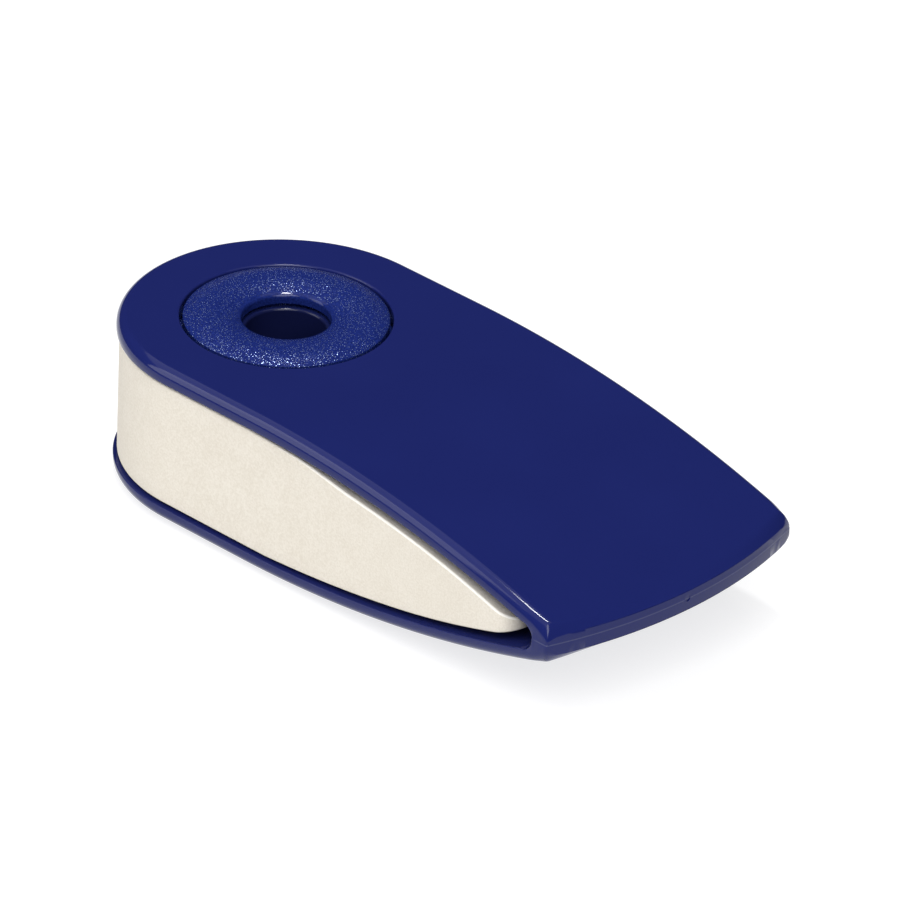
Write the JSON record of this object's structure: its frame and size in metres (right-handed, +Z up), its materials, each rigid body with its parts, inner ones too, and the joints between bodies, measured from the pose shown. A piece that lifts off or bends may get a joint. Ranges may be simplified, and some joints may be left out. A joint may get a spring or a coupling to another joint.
{
  "type": "eraser with sleeve",
  "caption": "Cream eraser block that swings out of a glossy dark-blue one-piece plastic sleeve about a hollow textured hub at the sleeve's round end.",
  "frame": {"origin": "middle of the part's box, at the level of the lower hub disc's flat land", "axes": "+X along the sleeve from the round end to the thin end, +Y across it, +Z up along the hub axis"},
  "size_m": [0.0538, 0.0254, 0.0134],
  "materials": {
    "sleeve_plastic": "glossy dark-blue moulded plastic",
    "eraser_rubber": "matte cream",
    "hub_upper_plastic": "fine spark-eroded texture, smooth lip",
    "hub_lower_plastic": "fine spark-eroded texture, smooth lip"
  },
  "bodies": {
    "sleeve": {"sleeve": "sleeve_plastic"},
    "eraser": {"eraser_block": "eraser_rubber", "hub_upper_half": "hub_upper_plastic", "hub_lower_half": "hub_lower_plastic"}
  },
  "joints": [
    {"name": "eraser_swing", "type": "hinge", "parent": "sleeve", "child": "eraser", "pos_m": [-0.01435, 0, 0.0067], "axis": [0, 0, 1], "continuous": true}
  ]
}
